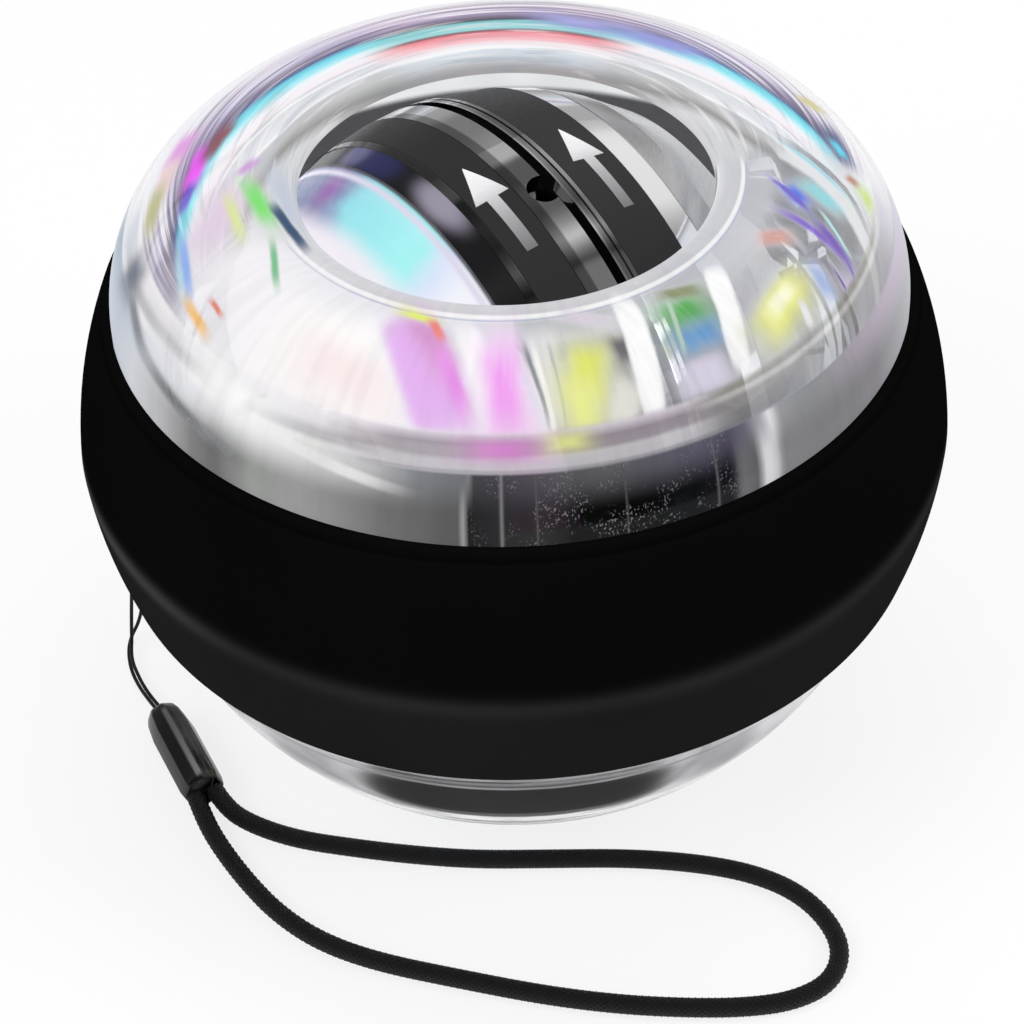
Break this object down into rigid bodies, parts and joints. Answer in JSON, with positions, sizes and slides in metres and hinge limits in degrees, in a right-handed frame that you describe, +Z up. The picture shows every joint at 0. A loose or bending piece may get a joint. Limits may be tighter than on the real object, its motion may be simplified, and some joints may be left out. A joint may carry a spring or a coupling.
{
  "type": "gyroscopic wrist ball",
  "caption": "Hand exerciser: a clear ball with a black grip band, a spinning metal rotor with lights inside that turns on a rolling axle, and a corded wrist strap.",
  "frame": {"origin": "on the surface that the ball stands on, under the middle of its flat foot", "axes": "+Z up through the round opening, -Y towards the camera of the picture, +X to its right; the rotor's axle is level, 34 degrees from +X towards +Y"},
  "size_m": [0.0736, 0.0769, 0.06],
  "materials": {
    "clear_shell": "gloss",
    "clear_carrier": "gloss",
    "clear_lens": "gloss",
    "grip": "satin",
    "cord_black": "matte",
    "black_plastic": "gloss",
    "grey_plastic": "matte",
    "white_plastic": "matte",
    "plated_alloy": "polished",
    "satin_alloy": "satin",
    "inlay_black": "satin",
    "steel": "satin",
    "spring_steel": "satin",
    "bronze": "satin",
    "magnet": "satin",
    "board": "satin",
    "diode": "gloss",
    "copper": "satin",
    "iron": "satin"
  },
  "bodies": {
    "housing": {"lower_shell": "clear_shell", "upper_shell": "clear_shell", "grip_band": "grip", "lanyard_bead": "black_plastic", "lanyard_loop": "cord_black", "wrist_cord": "cord_black"},
    "carrier": {"carrier_ring": "clear_carrier", "axle_bush_left": "bronze", "axle_bush_right": "bronze", "generator_magnets": "magnet", "spring_barrel": "grey_plastic", "barrel_cover": "grey_plastic", "barrel_screws": "steel", "mainspring": "spring_steel"},
    "arbor": {"spring_arbor": "steel"},
    "rotor": {"axle": "steel", "thrust_washer": "white_plastic", "rotor_core": "iron", "rotor_half_left": "plated_alloy", "rotor_half_right": "plated_alloy", "end_ring": "satin_alloy", "arrow_band_left": "inlay_black", "arrow_band_right": "inlay_black", "rotor_screws": "steel", "lens_bezel": "black_plastic", "light_lens": "clear_lens", "light_hub": "white_plastic", "circuit_board": "board", "board_chip": "black_plastic", "light_diodes": "diode", "pickup_coils": "copper", "coil_cores": "iron", "clutch_ring": "steel", "clutch_rollers": "steel"}
  },
  "joints": [
    {"name": "ring_precession", "type": "hinge", "parent": "housing", "child": "carrier", "pos_m": [0, 0, 0.0348], "axis": [0, 0, 1], "continuous": true},
    {"name": "rotor_spin", "type": "hinge", "parent": "carrier", "child": "rotor", "pos_m": [0, 0, 0.0348], "axis": [0.829, 0.5592, 0], "continuous": true},
    {"name": "spring_windup", "type": "hinge", "parent": "carrier", "child": "arbor", "pos_m": [0, 0, 0.0348], "axis": [0.829, 0.5592, 0], "range_deg": [-1800, 0], "stiffness_Nm_per_rad": 0.0016, "deforming": ["mainspring"]}
  ],
  "couplings": [
    {"joint": "ring_precession", "follows": "rotor_spin", "ratio": -0.03787}
  ]
}
